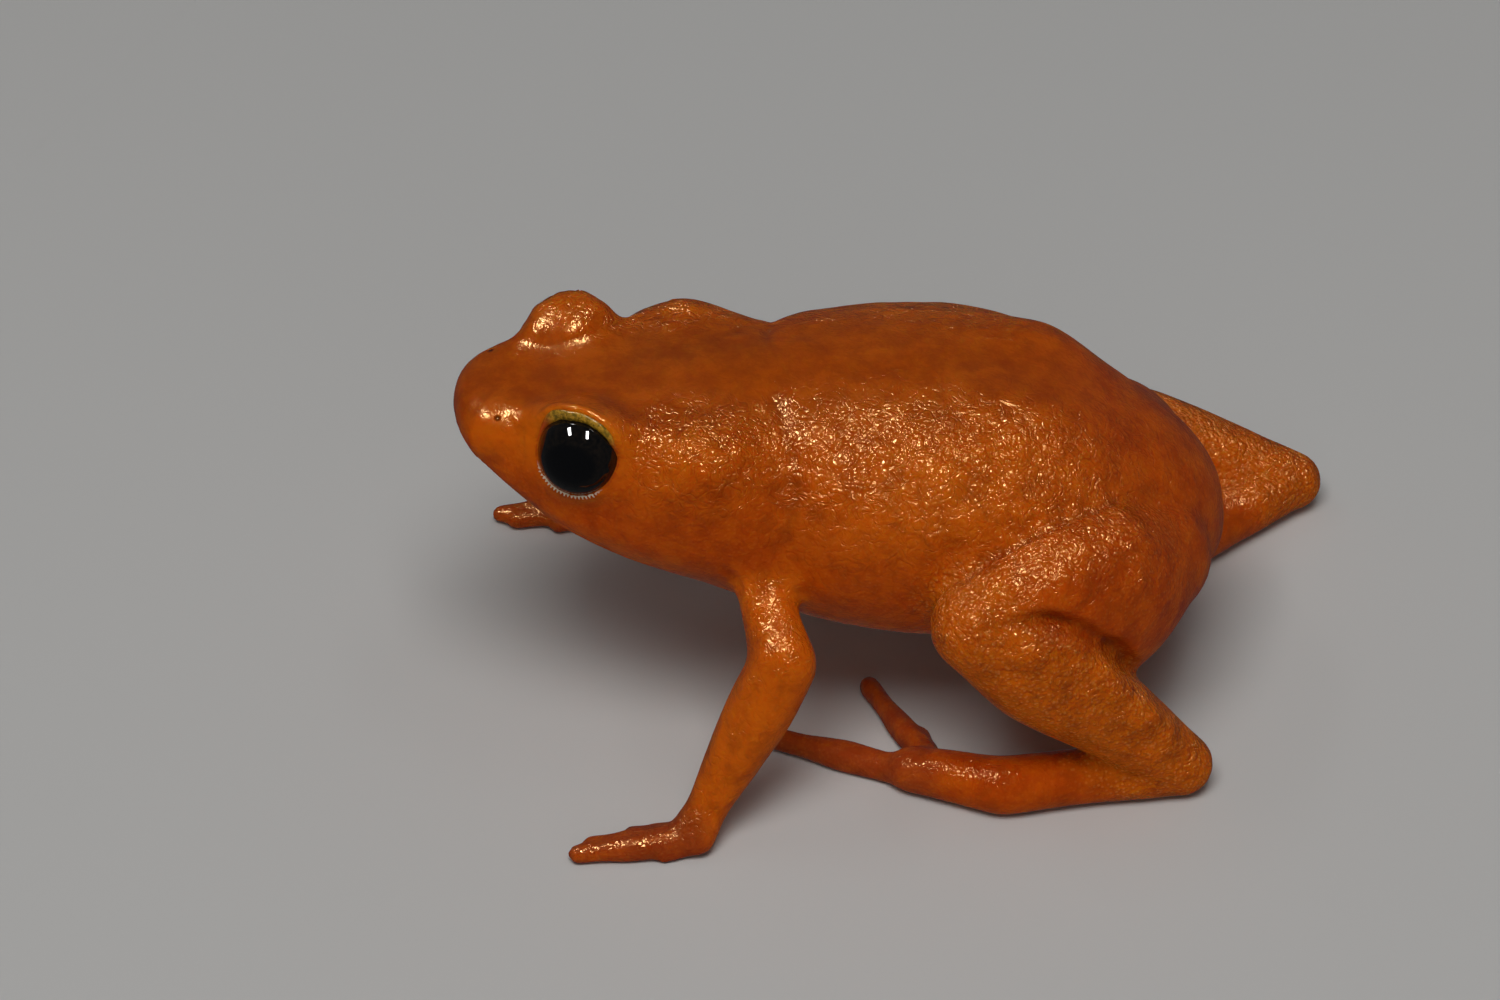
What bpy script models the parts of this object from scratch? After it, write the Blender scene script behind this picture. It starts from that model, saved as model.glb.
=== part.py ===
"""Life-size pumpkin toadlet standing on four feet with its head raised, for Blender 4.5.

Sizes are in millimetres and become metres when a mesh is made. The animal faces -X,
its left side faces -Y, and the floor is Z = 0. Head and torso are one lofted body that is
parted by a thin cut, and every limb is a row of tapered tubes parted at the joints.
"""

import math

import bmesh
import bpy
import numpy as np
from mathutils import Matrix, Vector

# Driving sizes
MM = 0.001
GAP = 0.28
EYE_GAP = 0.12
EYE_RADIUS = 1.0
LID_RADIUS = 1.25
LID_SHIFT = (-0.10, 0.0, -0.03)
LID_PLANE = 0.34
LID_CUT_SIZE = (4.0, 4.0, 2.0)
GROOVE_RADIUS = 0.14
NOSTRIL_RADIUS = 0.14
FLAT_SHARE = 0.88

# Mesh fineness
BODY_RINGS = 66
BODY_SIDES = 36
LIMB_SIDES = 16
DIGIT_SIDES = 10
RINGS_PER_SPAN = 4
CAP_RINGS = 3
BALL_RINGS = 14
BALL_SIDES = 26

SIDES = {"left": -1.0, "right": 1.0}

# The body from snout to vent: place on X, height of the widest level, half width,
# rise to the back, drop to the belly, and squareness, where 2 is an ellipse.
BODY = (
    (-8.98, 8.62, 0.00, 0.00, 0.00, 2.0),
    (-8.74, 8.64, 1.08, 0.56, 0.54, 2.1),
    (-8.00, 8.40, 1.96, 0.98, 1.08, 2.2),
    (-6.95, 8.05, 2.62, 1.32, 1.72, 2.4),
    (-5.80, 7.75, 2.95, 1.70, 2.15, 2.5),
    (-4.60, 7.40, 3.25, 2.12, 2.35, 2.5),
    (-3.30, 7.00, 3.42, 2.58, 2.55, 2.4),
    (-1.80, 6.52, 3.60, 2.98, 2.90, 2.3),
    (0.00, 6.20, 4.03, 3.25, 3.12, 2.2),
    (1.90, 6.05, 4.28, 3.33, 3.22, 2.2),
    (3.70, 5.85, 4.15, 3.25, 3.10, 2.2),
    (5.20, 5.60, 3.70, 3.10, 2.85, 2.2),
    (6.60, 5.15, 3.00, 2.68, 2.35, 2.1),
    (7.90, 4.85, 2.15, 1.95, 1.75, 2.0),
    (8.75, 4.60, 1.20, 1.10, 1.10, 2.0),
    (9.02, 4.50, 0.00, 0.00, 0.00, 2.0),
)

# Swellings (+) and hollows (-) of the body on the left, mirrored on the right:
# middle, reach along X, Y and Z, and height of the form.
SWELLINGS = (
    ((-6.7, -2.1, 9.3), (1.2, 0.95, 1.05), 0.30),
    ((-3.5, -2.6, 8.9), (1.2, 1.0, 0.9), 0.42),
    ((-1.5, -3.7, 7.6), (0.55, 2.4, 2.8), -0.24),
    ((-7.7, -1.45, 9.2), (1.0, 0.5, 0.5), 0.10),
    ((4.8, -1.6, 8.9), (1.5, 0.8, 1.0), 0.18),
    ((1.5, -3.3, 8.0), (2.2, 1.0, 1.0), 0.12),
)

NECK = ((-2.1, 0.0, 6.8), (1.0, 0.0, -0.28))

EYE_CENTRE = (-6.15, -2.12, 8.84)
EYE_AXIS = (-0.38, -0.88, 0.28)
NOSTRIL = (-8.18, -1.14, 9.20)

# The mouth line runs round the snout at this share of the drop to the throat, back to
# its corner behind the eye.
MOUTH_SHARE = 0.66
MOUTH_CORNER = -4.3
MOUTH_FRONT = 0.02

# Joints of each limb as X, distance from the middle plane, and height.
ARM = {
    "left": {"root": (-2.4, 1.9, 6.3), "elbow": (-1.78, 4.75, 4.4), "wrist": (-3.5, 5.5, 1.05)},
    "right": {"root": (-2.6, 1.9, 6.3), "elbow": (-2.3, 4.85, 4.25), "wrist": (-4.4, 5.6, 1.05)},
}
PALM = {"left": (-3.95, 5.95, 0.42), "right": (-4.95, 6.45, 0.42)}
LEG = {
    "left": {
        "hip": (6.95, 2.0, 4.8), "buttock": (5.65, 3.35, 4.92), "mid": (4.2, 4.35, 5.5),
        "knee": (2.65, 5.1, 5.5), "heel": (7.55, 4.80, 0.71), "instep": (3.3, 5.10, 0.62),
        "ball": (1.3, 4.2, 0.48),
    },
    "right": {
        "hip": (7.0, 2.0, 4.2), "buttock": (6.9, 3.5, 3.4), "mid": (6.6, 5.0, 2.75),
        "knee": (6.1, 6.5, 2.1), "heel": (11.6, 5.35, 0.71), "instep": (8.1, 2.9, 0.62),
        "ball": (6.0, 2.1, 0.48),
    },
}

# Half thicknesses across and along the upright of each length, from its root.
UPPER_ARM_RADII = ((0.75, 0.75), (0.62, 0.66), (0.74, 0.78))
FOREARM_RADII = ((0.76, 0.80), (0.77, 0.78), (0.52, 0.56))
HAND_RADII = ((0.52, 0.50), (0.62, 0.46))
THIGH_RADII = {
    "left": ((1.52, 1.55), (1.75, 2.32), (1.50, 1.86), (1.05, 1.12)),
    "right": ((1.52, 1.55), (1.70, 1.80), (1.50, 1.60), (1.05, 1.12)),
}
SHANK_RADII = ((1.10, 1.15), (1.20, 1.32), (0.92, 0.98), (0.72, 0.76))
TARSUS_RADII = ((0.66, 0.72), (0.64, 0.69), (0.72, 0.70))
FOOT_RADII = ((0.72, 0.70), (0.60, 0.54))

# Fingers as root and tip, forwards and outwards from the palm, and radius at the root.
FINGERS = {
    "first": ((-0.10, -0.35), (-1.40, -0.45), 0.27),
    "second": ((-0.25, -0.10), (-2.35, -0.08), 0.34),
    "third": ((-0.30, 0.15), (-2.68, 0.22), 0.36),
    "fourth": ((-0.15, 0.25), (-0.72, 0.44), 0.22),
}
HAND_TURN = {"left": 0.0, "right": 6.0}
TOES = {
    "left": {
        "second": ((1.9, 4.2), (1.7, 2.6), 0.28),
        "third": ((1.85, 4.0), (0.65, 0.85), 0.36),
        "fourth": ((1.5, 4.3), (-1.8, 2.5), 0.40),
    },
    "right": {
        "second": ((6.6, 2.1), (6.5, 0.6), 0.28),
        "third": ((6.3, 1.9), (5.1, -0.6), 0.36),
        "fourth": ((6.2, 2.3), (2.9, 1.5), 0.40),
    },
}

SKIN_ORANGE = (0.80, 0.22, 0.012, 1.0)
DIGIT_RUST = (0.55, 0.10, 0.012, 1.0)
EYE_BLACK = (0.006, 0.006, 0.008, 1.0)


def clear_scene():
    """Removes the objects that the scene starts with."""
    for thing in list(bpy.data.objects):
        bpy.data.objects.remove(thing)


def material(name, colour, roughness):
    """A Principled material with one colour and one roughness."""
    made = bpy.data.materials.new(name)
    made.use_nodes = True
    shader = made.node_tree.nodes["Principled BSDF"]
    shader.inputs["Base Color"].default_value = colour
    shader.inputs["Roughness"].default_value = roughness
    shader.inputs["Metallic"].default_value = 0.0
    return made


def smooth_rows(rows, count, mirrored=()):
    """Rows read at count even steps from a Catmull-Rom curve through the given rows.

    The columns named in mirrored change sign beyond both ends, which rounds a closed end.
    """
    rows = np.array(rows, float)
    sign = np.ones(rows.shape[1])
    sign[list(mirrored)] = -1.0
    if mirrored:
        before, after = rows[1] * sign, rows[-2] * sign
    else:
        before, after = 2 * rows[0] - rows[1], 2 * rows[-1] - rows[-2]
    knots = np.vstack([before, rows, after])
    place = np.linspace(0, len(rows) - 1, count)
    span = np.minimum(place.astype(int), len(rows) - 2)
    t = (place - span)[:, None]
    a, b, c, d = (knots[span + k] for k in range(4))
    return 0.5 * (2 * b + (c - a) * t + (2 * a - 5 * b + 4 * c - d) * t**2 + (3 * b - a - 3 * c + d) * t**3)


def grid_mesh(name, rings, first_pole, last_pole):
    """A closed mesh object from rings of points, in millimetres, with a point at each end."""
    count, sides, _ = rings.shape
    points = np.vstack([rings.reshape(-1, 3), first_pole, last_pole])
    start, end = count * sides, count * sides + 1
    faces = []
    for j in range(sides):
        k = (j + 1) % sides
        faces.append((start, k, j))
        faces.append((end, (count - 1) * sides + j, (count - 1) * sides + k))
        for i in range(count - 1):
            low, high = i * sides, (i + 1) * sides
            faces.append((low + j, low + k, high + k, high + j))
    mesh = bpy.data.meshes.new(name)
    mesh.from_pydata([tuple(p) for p in (points * MM)], [], faces)
    made = bpy.data.objects.new(name, mesh)
    bpy.context.scene.collection.objects.link(made)
    face_outwards(made)
    return made


def mesh_points(made):
    """The points of an object's mesh as an array, in metres."""
    points = np.empty(len(made.data.vertices) * 3, np.float32)
    made.data.vertices.foreach_get("co", points)
    return points.reshape(-1, 3)


def face_outwards(made):
    """Turns every face of a closed mesh to point outwards."""
    shape = bmesh.new()
    shape.from_mesh(made.data)
    bmesh.ops.recalc_face_normals(shape, faces=shape.faces)
    if shape.calc_volume(signed=True) < 0:
        bmesh.ops.reverse_faces(shape, faces=shape.faces)
    shape.to_mesh(made.data)
    shape.free()


def swell(points, centres):
    """Moves the points of the body away from, or towards, its middle line by the swellings."""
    moved = points.copy()
    outward = points - centres
    outward /= np.maximum(np.linalg.norm(outward, axis=-1, keepdims=True), 1e-6)
    for middle, reach, height in SWELLINGS:
        for side in (1.0, -1.0):
            away = (points - np.array(middle) * (1.0, side, 1.0)) / reach
            moved += outward * height * np.exp(-(away**2).sum(axis=-1, keepdims=True))
    return moved


def body_rings(grow=0.0):
    """Rings of the whole body, each a rounded section across X, grown by a margin."""
    rows = smooth_rows(BODY, BODY_RINGS + 2, mirrored=(2, 3, 4))
    x, level, width, rise, drop, square = (c[:, None] for c in rows[1:-1].T)
    turn = np.linspace(0, 2 * math.pi, BODY_SIDES, endpoint=False)[None, :]
    across, up = np.cos(turn), np.sin(turn)
    power = 2 / square
    height = np.where(up > 0, rise, drop) + grow
    y = (width + grow) * np.sign(across) * np.abs(across) ** power
    z = level + height * np.sign(up) * np.abs(up) ** power
    rings = np.stack([x + 0 * y, y, z], axis=-1)
    centres = np.stack([x + 0 * y, 0 * y, level + 0 * z], axis=-1)
    return swell(rings, centres)


def body(name, grow=0.0):
    """The whole body from snout to vent as one closed loft."""
    first, last = BODY[0], BODY[-1]
    return grid_mesh(
        name,
        body_rings(grow),
        (first[0] - grow, 0.0, first[1]),
        (last[0] + grow, 0.0, last[1]),
    )


def tube(name, path, radii, upright, sides=LIMB_SIDES, rings_per_span=RINGS_PER_SPAN, grow=0.0):
    """A closed tapered tube with round ends through the path.

    radii are half thicknesses across and along upright at the path's points.
    """
    count = rings_per_span * (len(path) - 1) + 1
    middle = smooth_rows(path, count)
    radius = smooth_rows(radii, count) + grow
    along = np.gradient(middle, axis=0)
    along /= np.linalg.norm(along, axis=1, keepdims=True)
    across = np.cross(along, upright)
    across /= np.linalg.norm(across, axis=1, keepdims=True)
    over = np.cross(across, along)
    turn = np.linspace(0, 2 * math.pi, sides, endpoint=False)

    def ring(i, shrink=1.0, shift=0.0):
        centre = middle[i] + along[i] * shift
        wide, tall = radius[i] * shrink
        return centre + np.outer(np.cos(turn) * wide, across[i]) + np.outer(np.sin(turn) * tall, over[i])

    caps = [(k + 1) / (CAP_RINGS + 1) * math.pi / 2 for k in range(CAP_RINGS)]
    reach_first, reach_last = radius[0].mean(), radius[-1].mean()
    rings = [ring(0, math.sin(c), -reach_first * math.cos(c)) for c in caps]
    rings += [ring(i) for i in range(count)]
    rings += [ring(-1, math.sin(c), reach_last * math.cos(c)) for c in reversed(caps)]
    rings = np.array(rings)
    rings[..., 2] = np.maximum(rings[..., 2], -grow)
    poles = [middle[0] - along[0] * reach_first, middle[-1] + along[-1] * reach_last]
    for pole in poles:
        pole[2] = max(pole[2], -grow)
    return grid_mesh(name, rings, *poles)


def ball(name, centre, radius, rings=BALL_RINGS, sides=BALL_SIDES):
    """A closed ball from rings of latitude."""
    height = np.linspace(0, math.pi, rings + 2)[1:-1, None]
    turn = np.linspace(0, 2 * math.pi, sides, endpoint=False)[None, :]
    flat, tall = np.sin(height), np.cos(height)
    shell = np.stack([flat * np.cos(turn), flat * np.sin(turn), tall + 0 * turn], axis=-1)
    centre = np.array(centre)
    return grid_mesh(name, centre + radius * shell, centre + (0, 0, radius), centre - (0, 0, radius))


def remove(made):
    """Takes a helper object out of the file."""
    bpy.data.objects.remove(made)


def settle(made):
    """Applies an object's modifiers to its mesh."""
    graph = bpy.context.evaluated_depsgraph_get()
    mesh = bpy.data.meshes.new_from_object(made.evaluated_get(graph))
    made.modifiers.clear()
    made.data = mesh


def combine(made, others, operation):
    """Joins helper objects to an object, or cuts them from it, and removes them."""
    group = bpy.data.collections.new("helpers")
    for other in others:
        group.objects.link(other)
    change = made.modifiers.new(operation.title(), "BOOLEAN")
    change.operation = operation
    change.operand_type = "COLLECTION"
    change.collection = group
    change.solver = "EXACT"
    settle(made)
    for other in others:
        remove(other)
    bpy.data.collections.remove(group)


def keep_largest(made):
    """Keeps only the largest closed surface of a mesh."""
    shape = bmesh.new()
    shape.from_mesh(made.data)
    left, groups = set(shape.verts), []
    while left:
        group, front = set(), [next(iter(left))]
        while front:
            point = front.pop()
            if point in group:
                continue
            group.add(point)
            front += [edge.other_vert(point) for edge in point.link_edges]
        groups.append(group)
        left -= group
    groups.sort(key=len)
    loose = [point for group in groups[:-1] for point in group]
    bmesh.ops.delete(shape, geom=loose, context="VERTS")
    shape.to_mesh(made.data)
    shape.free()


def part_at(made, point, normal, gap=GAP):
    """Keeps what lies before a plane, half a gap clear of it, and closes the cut."""
    normal = Vector(normal).normalized()
    shape = bmesh.new()
    shape.from_mesh(made.data)
    bmesh.ops.bisect_plane(
        shape,
        geom=shape.verts[:] + shape.edges[:] + shape.faces[:],
        plane_co=(Vector(point) - normal * gap / 2) * MM,
        plane_no=normal,
        clear_outer=True,
    )
    rim = [edge for edge in shape.edges if edge.is_boundary]
    bmesh.ops.holes_fill(shape, edges=rim, sides=0)
    shape.to_mesh(made.data)
    shape.free()
    face_outwards(made)


def beside(joint, kept, shank_end):
    """Normal of the plane along the shank, pointing away from the length that is kept."""
    along = (shank_end - joint) / np.linalg.norm(shank_end - joint)
    towards = kept - joint
    return along * (towards @ along) - towards


def outward(point, side):
    """A joint given by its distance from the middle plane, on the left or right."""
    return np.array((point[0], point[1] * SIDES[side], point[2]))


def bisector(joint, before, after):
    """Normal of the plane that halves the bend at a joint, pointing to the later length."""
    back = (before - joint) / np.linalg.norm(before - joint)
    ahead = (after - joint) / np.linalg.norm(after - joint)
    return ahead - back


def finish(made, look):
    """Shades a node smooth with crisp cuts and gives it its material."""
    made.data.materials.clear()
    made.data.materials.append(look)
    made.data.shade_smooth()
    made.data.set_sharp_from_angle(angle=math.radians(50))


def mouth_line():
    """The line of the mouth: along one lip, round the snout and along the other.

    Its places along X crowd together towards the front, where the line turns.
    """
    rows = smooth_rows(BODY, 400, mirrored=(2, 3, 4))
    front = BODY[0][0] + MOUTH_FRONT
    place = front + (MOUTH_CORNER - front) * np.linspace(1.0, 0.0, 22) ** 2
    level, width, drop, square = (np.interp(place, rows[:, 0], rows[:, k]) for k in (1, 2, 4, 5))
    out = width * (1 - MOUTH_SHARE**square) ** (1 / square)
    left = np.column_stack([place, -out, level - MOUTH_SHARE * drop])
    return np.vstack([left, left[::-1] * (1, -1, 1)])


def groove(path):
    """A thin closed tube along the mouth line, which cuts its groove."""
    path = smooth_rows(path, 72)
    radii = np.full((len(path), 2), GROOVE_RADIUS)
    return tube("groove", path, radii, (0, 0, 1), 8, rings_per_span=1)


def lid_opening(side):
    """A half-space block that opens the lids in front of a plane across the eye's axis."""
    axis = Vector(on_side(EYE_AXIS, side)).normalized()
    bpy.ops.mesh.primitive_cube_add(size=1)
    block = bpy.context.object
    facing = axis.to_track_quat("Z", "Y").to_matrix().to_4x4()
    middle = Vector(on_side(EYE_CENTRE, side)) + axis * (LID_PLANE + LID_CUT_SIZE[2] / 2)
    size = Matrix.Diagonal((*(s * MM for s in LID_CUT_SIZE), 1.0))
    block.matrix_world = Matrix.Translation(middle * MM) @ facing @ size
    return block


def make_head(whole, look):
    """The head: the front of the body with lid bulges, sockets, nostrils and mouth line."""
    part_at(whole, *NECK)
    lids = [make_lid(side) for side in SIDES]
    combine(whole, lids, "UNION")
    cutters = [groove(mouth_line())]
    for side in SIDES:
        cutters.append(ball("socket_" + side, on_side(EYE_CENTRE, side), EYE_RADIUS + EYE_GAP))
        cutters.append(ball("nostril_" + side, on_side(NOSTRIL, side), NOSTRIL_RADIUS, 6, 10))
    combine(whole, cutters, "DIFFERENCE")
    keep_largest(whole)
    finish(whole, look)


def make_lid(side):
    """A ball of skin round one eye, cut open in front of it."""
    lid = ball("lid_" + side, on_side(EYE_CENTRE, side) + LID_SHIFT, LID_RADIUS)
    combine(lid, [lid_opening(side)], "DIFFERENCE")
    return lid


def on_side(point, side):
    """A point or direction given for the left, kept there or mirrored to the right."""
    return np.array(point) * (1.0, -SIDES[side], 1.0)


def make_body(look):
    """Head and torso, parted from one loft."""
    head = body("head")
    torso = body("torso")
    part_at(torso, NECK[0], tuple(-v for v in NECK[1]))
    make_head(head, look)
    finish(torso, look)


def make_eyes(look):
    """Both eyeballs."""
    for side in SIDES:
        finish(ball("eye_" + side, on_side(EYE_CENTRE, side), EYE_RADIUS), look)


def make_arm(side, skin, digit):
    """Upper arm, forearm and hand of one side."""
    root, elbow, wrist = (outward(ARM[side][k], side) for k in ("root", "elbow", "wrist"))
    palm = outward(PALM[side], side)
    facing = (-1.0, 0.3 * SIDES[side], 0.2)
    upper = tube("upper_arm_" + side, (root, (root + elbow) / 2, elbow), UPPER_ARM_RADII, facing)
    part_at(upper, elbow, bisector(elbow, root, wrist))
    combine(upper, [body("clear", GAP)], "DIFFERENCE")
    keep_largest(upper)
    fore = tube("forearm_" + side, (elbow, elbow * 0.6 + wrist * 0.4, wrist), FOREARM_RADII, facing)
    part_at(fore, elbow, -bisector(elbow, root, wrist))
    part_at(fore, wrist, bisector(wrist, elbow, palm))
    finish(upper, skin)
    finish(fore, skin)
    hand = tube("hand_" + side, (wrist, palm), HAND_RADII, (0, 0, 1))
    turn = math.radians(HAND_TURN[side])
    fingers = []
    for name, (base, tip, radius) in FINGERS.items():
        base, tip = (turned(end, turn) + PALM[side][:2] for end in (base, tip))
        fingers.append(make_digit(name, side, base, tip, radius))
    combine(hand, fingers, "UNION")
    part_at(hand, wrist, -bisector(wrist, elbow, palm))
    keep_largest(hand)
    finish(hand, digit)


def turned(offset, angle):
    """An offset on the floor turned towards the middle plane by an angle."""
    forwards, out = offset
    return np.array((
        forwards * math.cos(angle) - out * math.sin(angle),
        forwards * math.sin(angle) + out * math.cos(angle),
    ))


def make_digit(name, side, base, tip, radius):
    """One finger or toe lying on the floor, thick at its root and blunt at its tip."""
    start = outward((base[0], base[1], radius * FLAT_SHARE), side)
    end = outward((tip[0], tip[1], radius * 0.7 * FLAT_SHARE), side)
    knuckle = start * 0.45 + end * 0.55
    return tube(
        "digit_" + name,
        (start, knuckle, end),
        ((radius, radius), (radius * 0.85, radius * 0.86), (radius * 0.65, radius * 0.7)),
        (0, 0, 1),
        DIGIT_SIDES,
        3,
    )


def make_leg(side, skin, digit):
    """Thigh, shank, tarsus and foot of one side."""
    hip, buttock, mid, knee, heel, instep, ball_of_foot = (outward(p, side) for p in LEG[side].values())
    up = (0, 0, 1)
    calf, ankle = knee * 0.65 + heel * 0.35, knee * 0.25 + heel * 0.75
    shank_path = (knee, calf, ankle, heel)
    shank = tube("shank_" + side, shank_path, SHANK_RADII, up)
    combine(shank, [body("clear", GAP)], "DIFFERENCE")
    keep_largest(shank)
    thigh = tube("thigh_" + side, (hip, buttock, mid, knee), THIGH_RADII[side], up)
    part_at(thigh, knee, beside(knee, mid, heel))
    fold = tube("fold", shank_path, SHANK_RADII, up, grow=GAP)
    combine(thigh, [body("clear", GAP), fold], "DIFFERENCE")
    keep_largest(thigh)
    tarsus = tube("tarsus_" + side, (heel, (heel + instep) / 2, instep), TARSUS_RADII, up)
    part_at(tarsus, heel, beside(heel, instep, knee))
    part_at(tarsus, instep, bisector(instep, heel, ball_of_foot))
    combine(tarsus, [tube("fold", shank_path, SHANK_RADII, up, grow=GAP)], "DIFFERENCE")
    keep_largest(tarsus)
    foot = tube("foot_" + side, (instep, ball_of_foot), FOOT_RADII, up)
    toes = [make_digit(name, side, *toe) for name, toe in TOES[side].items()]
    combine(foot, toes, "UNION")
    part_at(foot, instep, -bisector(instep, heel, ball_of_foot))
    keep_largest(foot)
    for length, look in ((thigh, skin), (shank, skin), (tarsus, skin), (foot, digit)):
        finish(length, look)


def stand_at_origin():
    """Moves every node so that the middle of the footprint is the origin."""
    nodes = list(bpy.data.objects)
    points = np.concatenate([mesh_points(node) for node in nodes])
    middle = (points.min(axis=0) + points.max(axis=0)) / 2
    shift = Matrix.Translation((-middle[0], -middle[1], 0.0))
    for node in nodes:
        node.data.transform(shift)


def main():
    clear_scene()
    skin = material("orange_skin", SKIN_ORANGE, 0.35)
    digit = material("rust_digit_skin", DIGIT_RUST, 0.38)
    eye = material("black_eye", EYE_BLACK, 0.05)
    make_body(skin)
    make_eyes(eye)
    for side in SIDES:
        make_arm(side, skin, digit)
        make_leg(side, skin, digit)
    stand_at_origin()


main()
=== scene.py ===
"""Looks of the life-size pumpkin toadlet: one orange skin over all the flesh, two wet black
eyes with their lid rims, a plain pale floor and soft studio light.

Shapes are worked out in millimetres in the drafting frame of the solids: the animal faces
-X, its left side faces -Y and the floor is Z = 0. They become metres, in the part's own
frame, when a mesh is made.
"""

import math

import bpy
import numpy as np
from mathutils import Matrix, Vector


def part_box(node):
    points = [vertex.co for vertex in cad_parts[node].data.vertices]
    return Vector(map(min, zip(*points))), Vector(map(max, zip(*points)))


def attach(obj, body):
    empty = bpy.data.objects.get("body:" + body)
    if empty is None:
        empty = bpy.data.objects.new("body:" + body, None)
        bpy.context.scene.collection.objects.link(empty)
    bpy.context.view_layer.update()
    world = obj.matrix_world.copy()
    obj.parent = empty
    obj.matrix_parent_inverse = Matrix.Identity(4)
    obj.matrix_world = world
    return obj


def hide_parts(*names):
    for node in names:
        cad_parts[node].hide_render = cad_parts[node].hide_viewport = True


MM = 0.001
FLOOR = 0.0

# Fineness of the skin
VOXEL = 0.098
BODY_RINGS = 260
BODY_SIDES = 170
LIMB_SIDES = 44
DIGIT_SIDES = 28
RINGS_PER_SPAN = 16
CAP_RINGS = 8

SIDES = {"left": -1.0, "right": 1.0}

# The body from snout to vent: place on X, height of the widest level, half width,
# rise to the back, drop to the belly, and squareness, where 2 is an ellipse.
BODY = (
    (-8.98, 8.62, 0.00, 0.00, 0.00, 2.0),
    (-8.74, 8.64, 1.08, 0.56, 0.54, 2.1),
    (-8.00, 8.40, 1.96, 0.98, 1.08, 2.2),
    (-6.95, 8.05, 2.62, 1.32, 1.72, 2.4),
    (-5.80, 7.75, 2.95, 1.70, 2.15, 2.5),
    (-4.60, 7.40, 3.25, 2.12, 2.35, 2.5),
    (-3.30, 7.00, 3.42, 2.58, 2.55, 2.4),
    (-1.80, 6.52, 3.60, 2.98, 2.90, 2.3),
    (0.00, 6.20, 4.03, 3.25, 3.12, 2.2),
    (1.90, 6.05, 4.28, 3.33, 3.22, 2.2),
    (3.70, 5.85, 4.15, 3.25, 3.10, 2.2),
    (5.20, 5.60, 3.70, 3.10, 2.85, 2.2),
    (6.60, 5.15, 3.00, 2.68, 2.35, 2.1),
    (7.90, 4.85, 2.15, 1.95, 1.75, 2.0),
    (8.75, 4.60, 1.20, 1.10, 1.10, 2.0),
    (9.02, 4.50, 0.00, 0.00, 0.00, 2.0),
)

# Swellings (+) and hollows (-) of the body on the left, mirrored on the right:
# middle, reach along X, Y and Z, and height of the form.
SWELLINGS = (
    ((-6.7, -2.1, 9.3), (1.2, 0.95, 1.05), 0.30),
    ((-3.5, -2.6, 8.9), (1.2, 1.0, 0.9), 0.42),
    ((-1.5, -3.7, 7.6), (0.55, 2.4, 2.8), -0.24),
    ((-7.7, -1.45, 9.2), (1.0, 0.5, 0.5), 0.10),
    ((4.8, -1.6, 8.9), (1.5, 0.8, 1.0), 0.18),
    ((1.5, -3.3, 8.0), (2.2, 1.0, 1.0), 0.12),
)

EYE_CENTRE = (-6.15, -2.12, 8.84)
EYE_RADIUS = 1.0
EYE_AXIS = (-0.38, -0.88, 0.28)
LID_RADIUS = 1.25
LID_SHIFT = (-0.10, 0.0, -0.03)
NOSTRIL = (-8.18, -1.14, 9.20)
NOSTRIL_PIT = (-8.00, -1.22, 9.24)
PUPIL = (0.62, 0.48)

MOUTH_SHARE = 0.66
MOUTH_CORNER = -4.3
MOUTH_FRONT = 0.02

# Low forms of the head on the left, mirrored on the right: place, reach along X, Y and Z, and
# height. The ends of the brow leave the edge of the lid as it is.
BROW_SIDE = ((-6.0, -1.1, 9.75), (0.9, 0.45, 0.6), 0.10)
BROW_ENDS = (
    ((-7.15, -1.45, 9.5), (0.5, 0.5, 0.5), 0.16),
    ((-5.3, -1.95, 9.7), (0.55, 0.5, 0.6), 0.16),
)

# Soft patches of the skin's texture and colour, as place and reach. The nape's is on one side.
FLANK = ((2.2, -3.2, 8.0), (3.6, 2.0, 1.8))
SHOULDER = ((-3.5, -2.8, 8.9), (1.8, 1.2, 1.1))
RUMP = ((6.0, -3.6, 6.6), (2.2, 1.8, 1.8))
BROW_TOP = ((-6.2, -2.0, 9.9), (0.9, 0.8, 0.6))
CREST_TOP = ((-3.5, -2.7, 9.3), (0.9, 0.7, 0.6))
NAPE = ((-3.3, 0.7, 9.4), (1.5, 0.8, 0.8))

# Joints of each limb as X, distance from the middle plane, and height.
ARM = {
    "left": {"root": (-2.4, 1.9, 6.3), "elbow": (-1.78, 4.75, 4.4), "wrist": (-3.5, 5.5, 1.05)},
    "right": {"root": (-2.6, 1.9, 6.3), "elbow": (-2.3, 4.85, 4.25), "wrist": (-4.4, 5.6, 1.05)},
}
PALM = {"left": (-3.95, 5.95, 0.42), "right": (-4.95, 6.45, 0.42)}
LEG = {
    "left": {
        "hip": (6.95, 2.0, 4.8), "buttock": (5.65, 3.35, 4.92), "mid": (4.2, 4.35, 5.5),
        "knee": (2.65, 5.1, 5.5), "heel": (7.55, 4.80, 0.71), "instep": (3.3, 5.10, 0.62),
        "ball": (1.3, 4.2, 0.48),
    },
    "right": {
        "hip": (7.0, 2.0, 4.2), "buttock": (6.9, 3.5, 3.4), "mid": (6.6, 5.0, 2.75),
        "knee": (6.1, 6.5, 2.1), "heel": (11.6, 5.35, 0.71), "instep": (8.1, 2.9, 0.62),
        "ball": (6.0, 2.1, 0.48),
    },
}

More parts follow.
